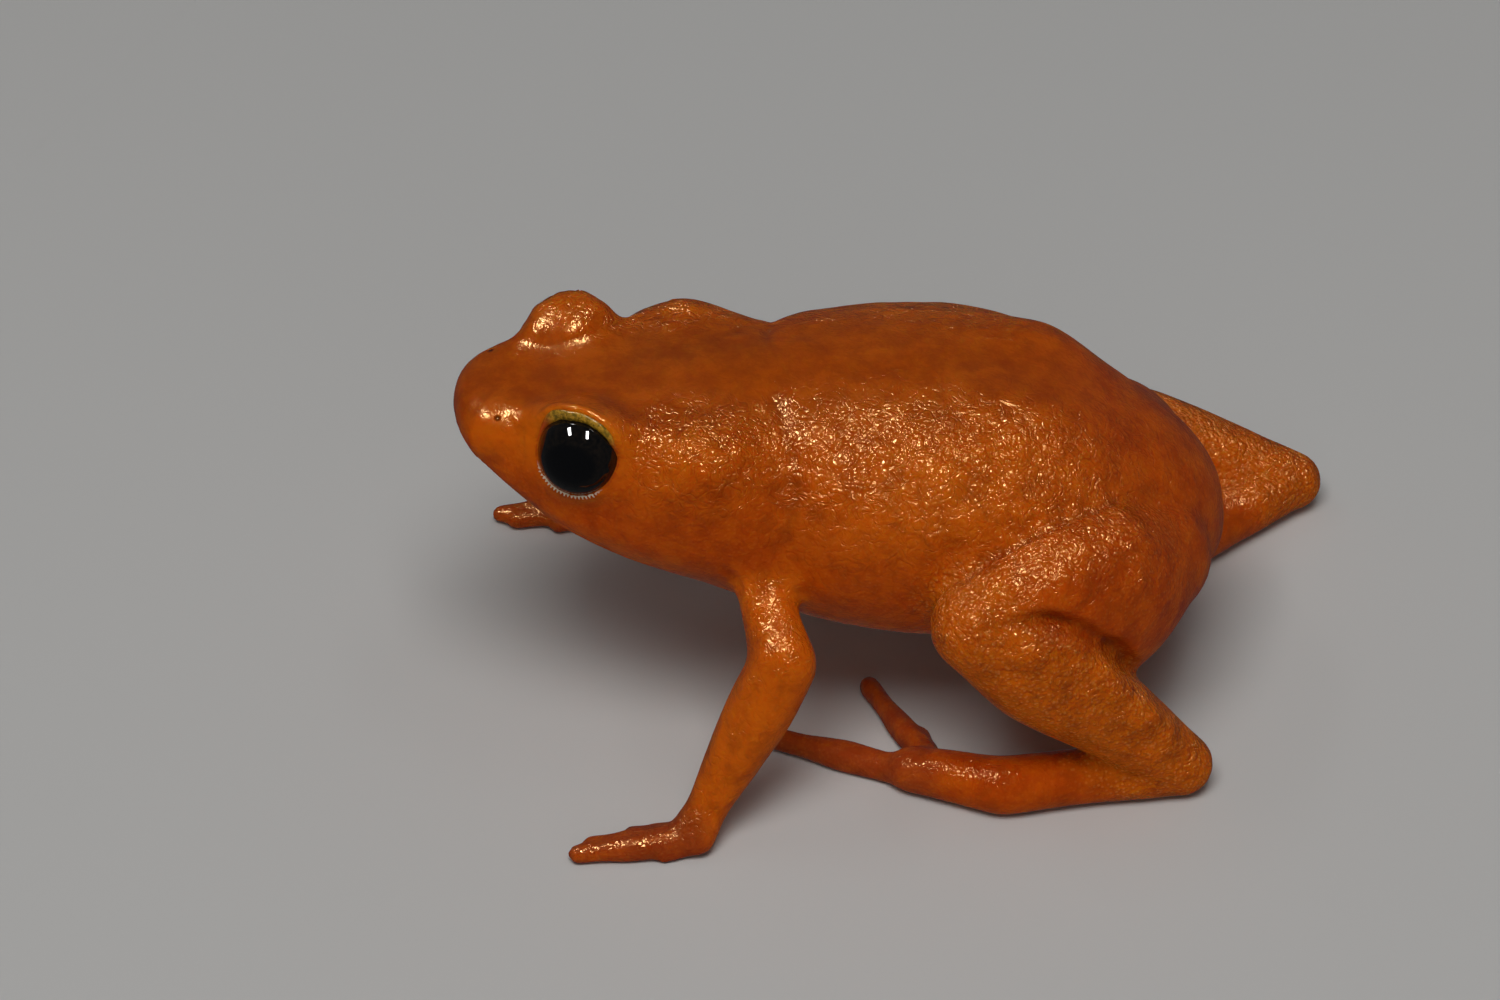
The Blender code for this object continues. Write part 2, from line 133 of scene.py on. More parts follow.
# Half thicknesses across and along the upright of each length, from its root.
UPPER_ARM_RADII = ((0.75, 0.75), (0.62, 0.66), (0.74, 0.78))
FOREARM_RADII = ((0.76, 0.80), (0.77, 0.78), (0.52, 0.56))
HAND_RADII = ((0.52, 0.50), (0.62, 0.46))
THIGH_RADII = {
    "left": ((1.52, 1.55), (1.75, 2.32), (1.50, 1.86), (1.05, 1.12)),
    "right": ((1.52, 1.55), (1.70, 1.80), (1.50, 1.60), (1.05, 1.12)),
}
SHANK_RADII = ((1.10, 1.15), (1.20, 1.32), (0.92, 0.98), (0.72, 0.76))
TARSUS_RADII = ((0.66, 0.72), (0.64, 0.69), (0.72, 0.70))
FOOT_RADII = ((0.72, 0.70), (0.60, 0.54))

# Fingers as root and tip, forwards and outwards from the palm, and radius at the root.
FINGERS = {
    "first": ((-0.10, -0.35), (-1.40, -0.45), 0.27),
    "second": ((-0.25, -0.10), (-2.35, -0.08), 0.34),
    "third": ((-0.30, 0.15), (-2.68, 0.22), 0.36),
    "fourth": ((-0.15, 0.25), (-0.72, 0.44), 0.22),
}
HAND_TURN = {"left": 0.0, "right": 6.0}
TOES = {
    "left": {
        "second": ((1.9, 4.2), (1.7, 2.6), 0.28),
        "third": ((1.85, 4.0), (0.65, 0.85), 0.36),
        "fourth": ((1.5, 4.3), (-1.8, 2.5), 0.40),
    },
    "right": {
        "second": ((6.6, 2.1), (6.5, 0.6), 0.28),
        "third": ((6.3, 1.9), (5.1, -0.6), 0.36),
        "fourth": ((6.2, 2.3), (2.9, 1.5), 0.40),
    },
}
FLAT_SHARE = 0.88

# The lid opening of each eye, at even steps round its axis from straight ahead, over the top,
# to the rear and back under the eye: half angle in degrees, distance of the lid from the
# eye's centre, and how far beyond the lid the skin is drawn to it. The right lids are a
# little more closed. Points nearer to the edge than the gather are drawn on to it, and skin
# farther than the reach from the eye's centre is left alone.
LID_OPENING = {
    "left": (72, 80, 74, 67, 67, 69, 76, 70, 67, 67, 66, 68),
    "right": (67, 60, 52, 52, 56, 63, 73, 70, 67, 67, 66, 67),
}
LID_PROUD = {
    "left": (1.14, 1.24, 1.30, 1.27, 1.21, 1.15, 1.10, 1.08, 1.07, 1.07, 1.08, 1.09),
    "right": (1.13, 1.13, 1.11, 1.11, 1.10, 1.10, 1.08, 1.08, 1.07, 1.07, 1.08, 1.09),
}
LID_FADE = (0.70, 0.50, 0.28, 0.25, 0.35, 0.45, 0.65, 0.80, 0.85, 0.85, 0.85, 0.85)
LID_HUG = 1.03
LID_GATHER = 0.08
LID_REACH = 2.6
LID_FAR = 9.0

# The wet edge of the lids: rings round the opening, sides of its section, and beads
RIM_RINGS = 480
RIM_SIDES = 14
RIM_BEADS = 70

# Folds seen in the photograph, as paths across its pixels, with half width and depth in
# millimetres, negative for a ridge, and whether the other side of the body has the same fold.
PHOTO_FOLDS = (
    (((772, 372), (784, 417), (794, 463), (792, 510), (782, 560)), 0.17, 0.075, True),
    (((738, 388), (752, 402), (761, 422)), 0.12, 0.035, True),
    (((942, 602), (974, 565), (1011, 543), (1067, 518), (1124, 499), (1145, 490)), 0.15, 0.10, False),
    (((1160, 530), (1115, 578), (1067, 627)), 0.15, 0.05, False),
    (((1008, 622), (997, 612), (985, 604)), 0.10, 0.03, False),
    (((1006, 624), (992, 619), (976, 618)), 0.10, 0.04, False),
    (((1006, 627), (993, 630), (978, 634)), 0.10, 0.03, False),
    (
        ((996, 628), (1023, 627), (1050, 625), (1073, 630), (1100, 641), (1128, 660), (1152, 684)),
        0.26, 0.36, False,
    ),
    (((985, 655), (1035, 652), (1070, 660), (1105, 678), (1145, 708), (1190, 746)), 0.55, -0.22, False),
    (((714, 566), (730, 578), (742, 596)), 0.12, 0.05, True),
    (((706, 580), (722, 592), (734, 606)), 0.12, 0.04, True),
    (((1080, 744), (1110, 757), (1140, 765)), 0.14, 0.06, False),
    (((1225, 496), (1240, 500), (1255, 503)), 0.14, 0.05, False),
)

# Colours of the skin, lids and eyes
ORANGE = (0.66, 0.102, 0.002, 1.0)
ORANGE_DEEP = (0.56, 0.070, 0.002, 1.0)
BACK_BROWN = (0.50, 0.090, 0.002, 1.0)
ARM_YELLOW = (0.82, 0.175, 0.004, 1.0)
BELLY_YELLOW = (0.68, 0.170, 0.010, 1.0)
DIGIT_RUST = (0.42, 0.070, 0.012, 1.0)
NAPE_OLIVE = (0.26, 0.070, 0.008, 1.0)
# Pale tone of the granules' tops, partly a painted highlight where they catch the light
GRANULE_PALE_AND_GLINT = (0.96, 0.34, 0.06, 1.0)
# Red of the fine speckle, and also painted shade laid in the folds and the grooves of the wrinkles
RED_SPECKLE_AND_CREASE_SHADE = (0.28, 0.030, 0.003, 1.0)
# Painted shade inside the nostril pits
NOSTRIL_SHADE = (0.05, 0.010, 0.003, 1.0)
LID_GOLD = (0.60, 0.31, 0.025, 1.0)
LID_OLIVE = (0.20, 0.12, 0.010, 1.0)
# Pale lower edge of the lids, partly a painted highlight of wet beads
LID_IVORY_AND_GLINT = (0.92, 0.74, 0.54, 1.0)
EYE_BLACK = (0.0015, 0.0015, 0.002, 1.0)
IRIS_BROWN = (0.010, 0.007, 0.005, 1.0)

# Full height of the fine relief in metres
SKIN_RELIEF = 0.00017
RIM_RELIEF = 0.00002

# Camera: azimuth and elevation in degrees, lens, film width and distance in millimetres, and
# the point of the drafting frame that it looks at.
CAMERA_AZIMUTH = -5.0
CAMERA_ELEVATION = 39.0
CAMERA_LENS = 180.0
FILM_WIDTH = 36.0
CAMERA_DISTANCE = 174.4
CAMERA_AIM = (-2.128, -0.172, 5.559)
PHOTO_WIDTH = 1500
PHOTO_HEIGHT = 1000

# Lights as the direction towards them, width and length in millimetres, and power. The strips
# make the wet highlights and the panels, placed by azimuth and elevation, the even light.
LIGHT_AIM = (0.0, 0.0, 5.0)
STRIP_DISTANCE = 130.0
STRIPS = {
    "left strip": ((-0.446, 0.178, 0.878), (14, 50), 0.14),
    "right strip": ((0.229, -0.11, 0.968), (13, 48), 0.14),
}
PANEL_DISTANCE = 280.0
PANELS = {
    "main panel": ((-14, 64), (150, 110), 0.39),
    "low panel": ((6, 22), (240, 160), 0.044),
}
ROOM_COLOUR = (0.86, 0.90, 0.95, 1.0)
ROOM_STRENGTH = 0.05
FLOOR_REACH = 2.0
FLOOR_GREY = (0.66, 0.65, 0.63, 1.0)


def turns(count):
    """Even turns round a circle, in radians."""
    return np.linspace(0, 2 * math.pi, count, endpoint=False)


def unit(vectors):
    """Vectors made one long."""
    return vectors / np.maximum(np.linalg.norm(vectors, axis=-1, keepdims=True), 1e-12)


def smooth_rows(rows, count, mirrored=()):
    """Rows read at count even steps from a Catmull-Rom curve through the given rows.

    The columns named in mirrored change sign beyond both ends, which rounds a closed end.
    """
    rows = np.array(rows, float)
    sign = np.ones(rows.shape[1])
    sign[list(mirrored)] = -1.0
    if mirrored:
        before, after = rows[1] * sign, rows[-2] * sign
    else:
        before, after = 2 * rows[0] - rows[1], 2 * rows[-1] - rows[-2]
    knots = np.vstack([before, rows, after])
    place = np.linspace(0, len(rows) - 1, count)
    span = np.minimum(place.astype(int), len(rows) - 2)
    t = (place - span)[:, None]
    a, b, c, d = (knots[span + k] for k in range(4))
    square = (2 * a - 5 * b + 4 * c - d) * t**2
    cube = (3 * b - a - 3 * c + d) * t**3
    return 0.5 * (2 * b + (c - a) * t + square + cube)


def closed_grid(rings, first_pole, last_pole):
    """Points and faces of a closed surface: quads between neighbouring rings and a fan of
    triangles from each end ring to its pole."""
    count, sides, _ = rings.shape
    points = np.vstack([rings.reshape(-1, 3), first_pole, last_pole])
    j = np.arange(sides)
    k = (j + 1) % sides
    i = np.arange(count - 1)[:, None] * sides
    quads = np.stack([i + j, i + k, i + sides + k, i + sides + j], axis=-1).reshape(-1, 4)
    last = (count - 1) * sides
    first_fan = np.stack([k, j, 0 * j + count * sides], axis=-1)
    last_fan = np.stack([last + j, last + k, 0 * j + count * sides + 1], axis=-1)
    return points, quads.tolist() + first_fan.tolist() + last_fan.tolist()


def body_grid():
    """The body from snout to vent.

    Each ring is a superellipse across X: y is the half width times cos^p and z the rise or
    drop times sin^p, with p = 2 / squareness. The swellings then move the points away from
    the middle line by height * exp(-(distance / reach)^2).
    """
    rows = smooth_rows(BODY, BODY_RINGS + 2, mirrored=(2, 3, 4))
    x, level, width, rise, drop, square = (c[:, None] for c in rows[1:-1].T)
    turn = turns(BODY_SIDES)[None, :]
    across, up = np.cos(turn), np.sin(turn)
    power = 2 / square
    height = np.where(up > 0, rise, drop)
    y = width * np.sign(across) * np.abs(across) ** power
    z = level + height * np.sign(up) * np.abs(up) ** power
    rings = np.stack([x + 0 * y, y, z], axis=-1)
    centres = np.stack([x + 0 * y, 0 * y, level + 0 * z], axis=-1)
    out = unit(rings - centres)
    moved = rings.copy()
    for middle, reach, form in SWELLINGS:
        for side in (1.0, -1.0):
            away = (rings - np.array(middle) * (1.0, side, 1.0)) / reach
            moved += out * form * np.exp(-(away**2).sum(axis=-1, keepdims=True))
    first, last = BODY[0], BODY[-1]
    return closed_grid(moved, (first[0], 0.0, first[1]), (last[0], 0.0, last[1]))


def tube_grid(path, radii, upright=(0, 0, 1), sides=LIMB_SIDES):
    """A tapered tube with round ends: an ellipse of the two half thicknesses, across and along
    upright, is carried along the smooth path, and each end shrinks as a half ball."""
    count = RINGS_PER_SPAN * (len(path) - 1) + 1
    middle = smooth_rows(path, count)
    radius = smooth_rows(radii, count)
    along = unit(np.gradient(middle, axis=0))
    caps = (np.arange(CAP_RINGS) + 1) / (CAP_RINGS + 1) * math.pi / 2
    row = np.clip(np.arange(-CAP_RINGS, count + CAP_RINGS), 0, count - 1)
    shrink = np.concatenate([np.sin(caps), np.ones(count), np.sin(caps)[::-1]])
    reach_first, reach_last = radius[0].mean(), radius[-1].mean()
    lean = np.cos(caps)
    shift = np.concatenate([-reach_first * lean, np.zeros(count), reach_last * lean[::-1]])
    across = unit(np.cross(along, upright))
    over = np.cross(across, along)
    turn = turns(sides)[None, :, None]
    wide = (radius[row, 0] * shrink)[:, None, None] * across[row][:, None, :] * np.cos(turn)
    tall = (radius[row, 1] * shrink)[:, None, None] * over[row][:, None, :] * np.sin(turn)
    rings = (middle[row] + along[row] * shift[:, None])[:, None, :] + wide + tall
    rings[..., 2] = np.maximum(rings[..., 2], FLOOR)
    first = middle[0] - along[0] * reach_first
    last = middle[-1] + along[-1] * reach_last
    first[2], last[2] = max(first[2], FLOOR), max(last[2], FLOOR)
    return closed_grid(rings, first, last)


def ball_grid(centre, radius, rings=40, sides=72):
    """A ball from rings of latitude."""
    height = np.linspace(0, math.pi, rings + 2)[1:-1, None]
    turn = turns(sides)[None, :]
    out = np.sin(height)
    shell = np.stack([out * np.cos(turn), out * np.sin(turn), np.cos(height) + 0 * turn], axis=-1)
    centre = np.array(centre, float)
    return closed_grid(centre + radius * shell, centre + (0, 0, radius), centre - (0, 0, radius))


def outward(point, side):
    """A joint given by its distance from the middle plane, on the left or right."""
    return np.array((point[0], point[1] * SIDES[side], point[2]))


def joints(limb, side):
    """The joints of one arm or leg, from root to end."""
    return [outward(point, side) for point in limb[side].values()]


def on_side(point, side):
    """A point or direction given for the left, kept there or mirrored to the right."""
    return np.array(point, float) * (1.0, -SIDES[side], 1.0)


def turned(offset, angle):
    """An offset on the floor turned towards the middle plane by an angle."""
    forwards, out = offset
    return np.array((
        forwards * math.cos(angle) - out * math.sin(angle),
        forwards * math.sin(angle) + out * math.cos(angle),
    ))


def digit_path(side, base, tip, radius):
    """Middle line and half thicknesses of one finger or toe, with its joint a little thicker
    and its tip a small rounded pad."""
    start = outward((base[0], base[1], radius * FLAT_SHARE), side)
    end = outward((tip[0], tip[1], radius * 0.7 * FLAT_SHARE), side)
    shares = np.array((0.0, 0.3, 0.52, 0.76, 1.0))[:, None]
    widths = radius * np.array((1.0, 0.86, 0.88, 0.68, 0.67))
    return start * (1 - shares) + end * shares, np.column_stack([widths, widths * 1.02])


def digits(side):
    """Every finger and toe of one side as path and half thicknesses."""
    turn = math.radians(HAND_TURN[side])
    made = []
    for base, tip, radius in FINGERS.values():
        base, tip = (turned(end, turn) + PALM[side][:2] for end in (base, tip))
        made.append(digit_path(side, base, tip, radius))
    made += [digit_path(side, *toe) for toe in TOES[side].values()]
    return made


def limb_grids(side):
    """The tubes of one arm and one leg, from root to digits."""
    root, elbow, wrist = joints(ARM, side)
    palm = outward(PALM[side], side)
    facing = (-1.0, 0.3 * SIDES[side], 0.2)
    hip, buttock, mid, knee, heel, instep, ball = joints(LEG, side)
    calf, ankle = knee * 0.65 + heel * 0.35, knee * 0.25 + heel * 0.75
    grids = [
        tube_grid((root, (root + elbow) / 2, elbow), UPPER_ARM_RADII, facing),
        tube_grid((elbow, elbow * 0.6 + wrist * 0.4, wrist), FOREARM_RADII, facing),
        tube_grid((wrist, palm), HAND_RADII),
        tube_grid((hip, buttock, mid, knee), THIGH_RADII[side]),
        tube_grid((knee, calf, ankle, heel), SHANK_RADII),
        tube_grid((heel, (heel + instep) / 2, instep), TARSUS_RADII),
        tube_grid((instep, ball), FOOT_RADII),
    ]
    grids += [tube_grid(path, radii, sides=DIGIT_SIDES) for path, radii in digits(side)]
    return grids


def joined(grids):
    """Several closed grids as one list of points and faces."""
    points, faces, start = [], [], 0
    for grid_points, grid_faces in grids:
        points.append(grid_points)
        faces += [tuple(corner + start for corner in face) for face in grid_faces]
        start += len(grid_points)
    return np.vstack(points), faces


def new_object(name, data):
    """An object that shows a mesh, light or camera, linked to the scene."""
    made = bpy.data.objects.new(name, data)
    bpy.context.scene.collection.objects.link(made)
    return made


def new_mesh(name, points, faces):
    """A linked object with a mesh of these points and faces."""
    mesh = bpy.data.meshes.new(name)
    mesh.from_pydata(points, [], faces)
    return new_object(name, mesh)


def cast(points, faces):
    """One closed surface round all the grids, met every VOXEL millimetres: its points, its
    four-cornered faces and its edges."""
    made = new_mesh("cast", points.tolist(), faces)
    change = made.modifiers.new("union", "REMESH")
    change.mode = "VOXEL"
    change.voxel_size = VOXEL
    change.adaptivity = 0.0
    graph = bpy.context.evaluated_depsgraph_get()
    result = made.evaluated_get(graph).to_mesh()

    def read(items, key, width, kind=np.int32):
        values = np.empty(len(items) * width, kind)
        items.foreach_get(key, values)
        return values.reshape(-1, width)

    points = read(result.vertices, "co", 3, np.float32).astype(float)
    quads = read(result.loops, "vertex_index", 1).reshape(-1, 4)
    edges = read(result.edges, "vertices", 2)
    bpy.data.objects.remove(made)
    return points, quads, edges


def relax(points, edges, weight, rounds):
    """Each point moves by its weight towards the mean of its neighbours, rounds times."""
    a, b = edges.T
    size = len(points)
    count = np.bincount(edges.ravel(), minlength=size)[:, None]
    for _ in range(rounds):
        sums = [
            np.bincount(a, points[b, k], size) + np.bincount(b, points[a, k], size)
            for k in range(3)
        ]
        points = points + weight[:, None] * (np.stack(sums, axis=1) / count - points)
    return points


def point_normals(points, quads):
    """Unit normal at each point: the sum of the cross products of its faces' diagonals."""
    a, b, c, d = (points[quads[:, k]] for k in range(4))
    face = np.cross(c - a, d - b)
    sums = [np.bincount(quads.ravel(), np.repeat(face[:, k], 4), len(points)) for k in range(3)]
    return unit(np.stack(sums, axis=1))


def step(value, low, high):
    """A smooth step from 0 below low to 1 above high."""
    t = np.clip((value - low) / (high - low), 0.0, 1.0)
    return t * t * (3 - 2 * t)


def nearest_on(points, path):
    """Distance from each point to the nearest place on a path of straight lengths, and the
    share of the path's whole length that lies before that place."""
    path = np.array(path, float)
    run = np.concatenate([[0.0], np.cumsum(np.linalg.norm(np.diff(path, axis=0), axis=1))])
    nearest = np.full(len(points), np.inf)
    along = np.zeros(len(points))
    for number, (start, end) in enumerate(zip(path[:-1], path[1:])):
        length = end - start
        share = np.clip((points - start) @ length / max(length @ length, 1e-9), 0.0, 1.0)
        away = np.linalg.norm(points - start - share[:, None] * length, axis=1)
        here = (run[number] + share * (run[number + 1] - run[number])) / run[-1]
        along = np.where(away < nearest, here, along)
        nearest = np.minimum(nearest, away)
    return nearest, along


def lumps(points, size, seed):
    """Smooth noise between -1 and 1 whose lumps are about size millimetres wide: random values
    on a repeating lattice, mixed between its corners by a smooth step."""
    lattice = np.random.default_rng(seed).uniform(-1.0, 1.0, (32, 32, 32))
    place = points / size
    cell = np.floor(place).astype(int)
    t = step(place - cell, 0, 1)
    total = np.zeros(len(points))
    for corner in np.ndindex(2, 2, 2):
        share = np.prod(np.where(corner, t, 1 - t), axis=1)
        i, j, k = ((cell + corner) % 32).T
        total += share * lattice[i, j, k]
    return total


def camera_axes():
    """Directions from the object to the camera, to the right and up in its picture."""
    back = direction(CAMERA_AZIMUTH, CAMERA_ELEVATION)
    turn = math.radians(CAMERA_AZIMUTH)
    right = np.array((math.cos(turn), math.sin(turn), 0.0))
    return back, right, np.cross(back, right)


def photo_pixels(points):
    """Place of each point across and down the photograph, and its depth: offsets from the
    camera divided by the depth and scaled by lens / film width * picture width."""
    back, right, up = camera_axes()
    away = points - (np.array(CAMERA_AIM) + back * CAMERA_DISTANCE)
    depth = -(away @ back)
    scale = CAMERA_LENS / FILM_WIDTH * PHOTO_WIDTH
    across = PHOTO_WIDTH / 2 + scale * (away @ right) / depth
    down = PHOTO_HEIGHT / 2 - scale * (away @ up) / depth
    return across, down, depth


def laid_on_skin(points, normals, path):
    """A path of the photograph laid on the skin: each of its places goes to the foremost of
    the skin's points beside it that face the camera, and the path is then smoothed."""
    across, down, depth = photo_pixels(points)
    hidden = normals @ camera_axes()[0] < 0.08
    rows = []
    for x, y in smooth_rows(path, 5 * len(path)):
        away = np.hypot(across - x, down - y) + 1e4 * hidden
        near = away <= max(away.min(), 4.0)
        rows.append(points[near][np.argmin(depth[near])])
    rows = np.array(rows)
    for _ in range(2):
        rows[1:-1] = (rows[:-2] + rows[1:-1] + rows[2:]) / 3
    return rows


def eye_frame(side):
    """Centre of an eye, its outward axis, and the forward and upward directions across it."""
    axis = unit(on_side(EYE_AXIS, side))
    forward = np.array((-1.0, 0.0, 0.0))
    forward = unit(forward - axis * (forward @ axis))
    upward = np.array((0.0, 0.0, 1.0))
    upward = unit(upward - (axis * (upward @ axis) + forward * (upward @ forward)))
    return on_side(EYE_CENTRE, side), axis, forward, upward


def around(values, turn):
    """Values given at even steps round the eye's axis, read at any turn by smooth steps."""
    values = np.array(values)
    place = (turn / (2 * math.pi) * len(values)) % len(values)
    cell = np.floor(place).astype(int)
    t = step(place - cell, 0, 1)
    return values[cell % len(values)] * (1 - t) + values[(cell + 1) % len(values)] * t


def opening_angle(side, turn):
    """Half angle of a lid opening, in radians, at a turn round the eye's axis."""
    return around(np.radians(LID_OPENING[side]), turn)


def eye_place(points, side):
    """Where points lie about an eye: distance from its centre, turn round its axis, and the
    distance along the eyeball from the edge of the opening, negative inside it."""
    centre, axis, forward, upward = eye_frame(side)
    away = points - centre
    reach = np.linalg.norm(away, axis=1)
    turn = np.arctan2(away @ upward, away @ forward)
    angle = np.arccos(np.clip(away @ axis / np.maximum(reach, 1e-6), -1, 1))
    return reach, turn, (angle - opening_angle(side, turn)) * LID_HUG


def open_lids(points, side):
    """Fits the skin round one eyeball.

    Along the eye's axis the skin is drawn to the height of the lids: the gap between the two
    at the edge of the opening, measured by turn, is closed there and fades out beyond it as
    exp(-(distance / reach)^2). Inside the opening the skin then drops behind the eyeball, and
    at the edge it leaves the eyeball as a rounded lip.
    """
    centre, axis, forward, upward = eye_frame(side)
    away = points - centre
    along = away @ axis
    out = np.hypot(away @ forward, away @ upward)
    turn = np.arctan2(away @ upward, away @ forward)
    edge = opening_angle(side, turn)
    proud = around(LID_PROUD[side], turn)
    rim_out, rim_along = proud * np.sin(edge), proud * np.cos(edge)
    near = (out < LID_REACH) & (along > -0.6)
    ring = near & (np.abs(out - rim_out) < 0.10)
    slots = 24
    slot = np.floor(turn / (2 * math.pi) * slots).astype(int) % slots
    count = np.maximum(np.bincount(slot[ring], minlength=slots), 1)
    level = np.bincount(slot[ring], along[ring], slots) / count
    for _ in range(2):
        level = (np.roll(level, 1) + 2 * level + np.roll(level, -1)) / 4
    gap = rim_along - around(level, turn - math.pi / slots)
    fade = np.exp(-((np.maximum(out - rim_out, 0) / around(LID_FADE, turn)) ** 2))
    points = points + axis * (near * gap * fade)[:, None]
    reach, turn, s = eye_place(points, side)
    share = np.clip(np.abs(s) / LID_GATHER, 0.0, 1.0)
    slide = np.where(near & (reach < 1.6), s * (1 - share**2), 0.0)
    ray = (points - centre) / np.maximum(reach, 1e-6)[:, None]
    across = unit(ray * (ray @ axis)[:, None] - axis)
    points = points - across * slide[:, None]
    reach, turn, s = eye_place(points, side)
    near &= reach < 2.4
    ray = (points - centre) / np.maximum(reach, 1e-6)[:, None]
    leaving = 1 - np.exp(-np.maximum(s, 0) / 0.04)
    lip = LID_HUG + (around(LID_PROUD[side], turn) - LID_HUG) * leaving
    fitted = np.clip(reach, lip, lip + 0.02 + 1.3 * np.maximum(s, 0))
    held = reach + (fitted - reach) * (1 - step(s, 0.12, 0.40))
    sunk = np.minimum(reach, LID_HUG - 0.2 * step(-s, 0.0, 0.14))
    new_reach = np.where(near & (s < 0), sunk, np.where(near, held, reach))
    return centre + ray * new_reach[:, None]


def crease(points, path, width, depth, full=0.5):
    """Height field of a crease with plump sides that runs out at both ends: -depth *
    (1 - (d / width)^2 / 2) * exp(-(d / width)^2), d being the distance to the path, times a
    smooth step beyond the middle share of the path that keeps its full depth."""
    d, along = nearest_on(points, path)
    d = d / width
    ends = 1 - step(np.abs(2 * along - 1), full, 1.0)
    return -depth * ends * (1 - 0.5 * d**2) * np.exp(-(d**2))


def cloud(points, centre, reach):
    """A soft patch round a place: exp(-(distance / reach)^2), with a reach along X, Y and Z."""
    return np.exp(-(((points - centre) / reach) ** 2).sum(axis=1))


def both_sides(points, centre, reach):
    """The same soft patch on the left and on the right."""
    return np.maximum(*(cloud(points, on_side(centre, side), reach) for side in SIDES))


def mouth_line():
    """The line of the mouth: along one lip, round the snout and along the other."""
    rows = smooth_rows(BODY, 400, mirrored=(2, 3, 4))
    front = BODY[0][0] + MOUTH_FRONT
    place = front + (MOUTH_CORNER - front) * np.linspace(1.0, 0.0, 22) ** 2
    level, width, drop, square = (np.interp(place, rows[:, 0], rows[:, k]) for k in (1, 2, 4, 5))
    out = width * (1 - MOUTH_SHARE**square) ** (1 / square)
    left = np.column_stack([place, -out, level - MOUTH_SHARE * drop])
    return np.vstack([left, left[::-1] * (1, -1, 1)])


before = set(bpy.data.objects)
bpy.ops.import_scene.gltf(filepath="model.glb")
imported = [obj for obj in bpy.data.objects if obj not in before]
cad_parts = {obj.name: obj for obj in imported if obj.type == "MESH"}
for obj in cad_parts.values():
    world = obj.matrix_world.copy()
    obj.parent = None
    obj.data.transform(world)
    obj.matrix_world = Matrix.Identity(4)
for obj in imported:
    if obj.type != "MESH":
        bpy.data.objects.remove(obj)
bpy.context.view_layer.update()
low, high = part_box("eye_left")
DRAFT_SHIFT = np.array(EYE_CENTRE) - np.array((low + high) / 2) / MM


def to_part(points):
    """Drafting millimetres as metres in the part's own frame."""
    return (np.asarray(points, float) - DRAFT_SHIFT) * MM


def facing_out(points, faces):
    """The faces, turned round where the closed shape's volume, summed over the pyramids from
    the middle to each face, comes out negative."""
    quads = np.array([face if len(face) == 4 else (*face, face[2]) for face in faces])
    corners = points[quads] - points.mean(axis=0)
    a, b, c, d = (corners[:, k] for k in range(4))
    volume = (a * np.cross(b, c)).sum() + (a * np.cross(c, d)).sum()
    return faces if volume > 0 else [tuple(face)[::-1] for face in faces]


def new_piece(name, points, faces, look, attributes):
    """A finished piece: a smooth mesh in the part's frame, its faces turned outwards, with its
    material and attributes."""
    made = new_mesh(name, to_part(points).tolist(), facing_out(points, faces))
    made.data.shade_smooth()
    for key, values in attributes.items():
        layer = made.data.attributes.new(key, "FLOAT", "POINT")
        layer.data.foreach_set("value", np.asarray(values, np.float32))
    made.data.materials.append(look)
    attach(made, "root")
    return made


def build_skin(look):
    """The one skin: all forms joined, relaxed into each other, fitted to the eyes, creased and
    wrinkled."""
    grids = [body_grid()]
    for side in SIDES:
        grids.append(ball_grid(on_side(EYE_CENTRE, side) + LID_SHIFT, LID_RADIUS))
        grids += limb_grids(side)
    points, quads, edges = cast(*joined(grids))
    fillet = fillets(points)
    points = relax(points, edges, 0.5 + 0 * fillet, 3)
    points = relax(points, edges, 0.6 * fillet, 26)
    for side in SIDES:
        points = open_lids(points, side)
    lid = lid_places(points)[0]
    points = relax(points, edges, 0.5 * step(lid, 0.10, 0.25) * (1 - step(lid, 1.2, 1.8)), 6)
    lid, brow = lid_places(points)
    normals = point_normals(points, quads)
    folds, height = skin_relief(points, normals, lid, brow)
    masks = skin_masks(points, normals, lid, brow, folds)
    points = points + normals * height[:, None]
    points[:, 2] = np.maximum(points[:, 2], FLOOR)
    skin = new_piece("skin", points, quads.tolist(), look, masks)
    flesh = [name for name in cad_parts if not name.startswith("eye_")]
    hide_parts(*flesh)


def lid_places(points):
    """Distance of the skin from the nearer lid opening, -1 inside it and LID_FAR away from it,
    and how far each point is above its eye rather than beside or below it, from 0 to 1."""
    nearest, brow = np.full(len(points), LID_FAR), np.zeros(len(points))
    for side in SIDES:
        reach, turn, s = eye_place(points, side)
        here = np.where(reach > LID_REACH, LID_FAR, np.where(s < 0, -1.0, s))
        brow = np.where(here < nearest, 0.5 + 0.5 * np.sin(turn), brow)
        nearest = np.minimum(nearest, here)
    return nearest, brow


def fillets(points):
    """Where the skin is relaxed into soft fillets, from 0 to 1: at the joints of the limbs, the
    palms and round the eyes."""
    most = np.zeros(len(points))
    for side in SIDES:
        root, elbow, wrist = joints(ARM, side)
        buttock, mid, knee, heel, instep, ball = joints(LEG, side)[1:]
        for centre, reach, share in (
            (root * 0.45 + elbow * 0.55, 1.5, 0.90),
            (elbow, 0.9, 0.70),
            (wrist, 0.7, 0.80),
            (outward(PALM[side], side), 0.7, 0.35),
            (buttock, 2.6, 0.55),
            (mid, 1.8, 0.35),
            (knee, 1.2, 0.60),
            (heel, 0.9, 0.40),
            (instep, 1.0, 0.90),
            (ball, 0.9, 0.50),
            (on_side(EYE_CENTRE, side), 1.9, 0.85),
        ):
            away = np.linalg.norm(points - centre, axis=1) / reach
            most = np.maximum(most, share * np.exp(-(away**2)))
    return most


